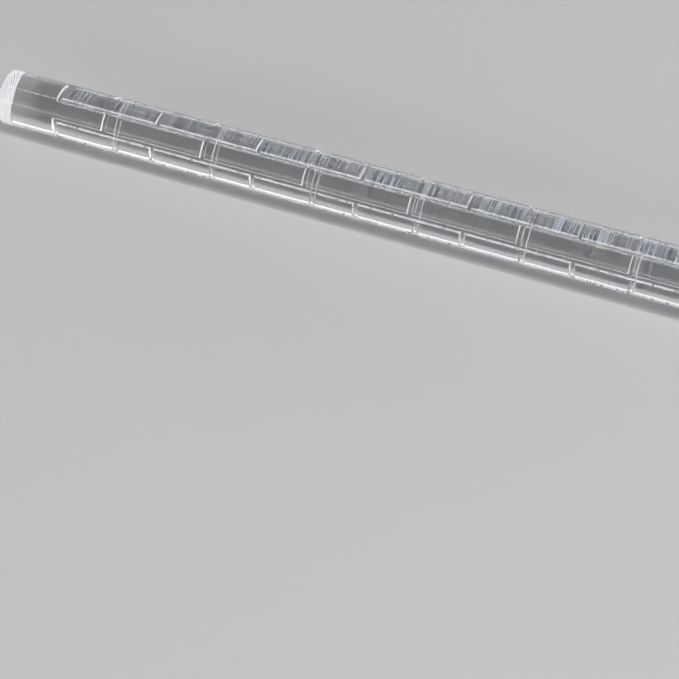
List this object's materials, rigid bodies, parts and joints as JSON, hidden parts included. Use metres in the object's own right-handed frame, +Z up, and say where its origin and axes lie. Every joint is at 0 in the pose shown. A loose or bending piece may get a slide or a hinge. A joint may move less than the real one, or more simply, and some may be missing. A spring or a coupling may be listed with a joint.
{
  "type": "embossing rolling pin",
  "caption": "Solid clear acrylic rod with a brick wall pattern engraved round it, rolled over clay or fondant to press the pattern in. Both ends are plain.",
  "frame": {"origin": "middle of the rod, on its axis", "axes": "+X along the rod, +Z up, with the middle of one course of bricks facing +Z"},
  "size_m": [0.316, 0.02, 0.02],
  "materials": {
    "clear_acrylic": "clear and polished, with fine tool marks round the rod and both end faces ground white"
  },
  "bodies": {
    "root": {"embossing_rod": "clear_acrylic"}
  },
  "joints": []
}
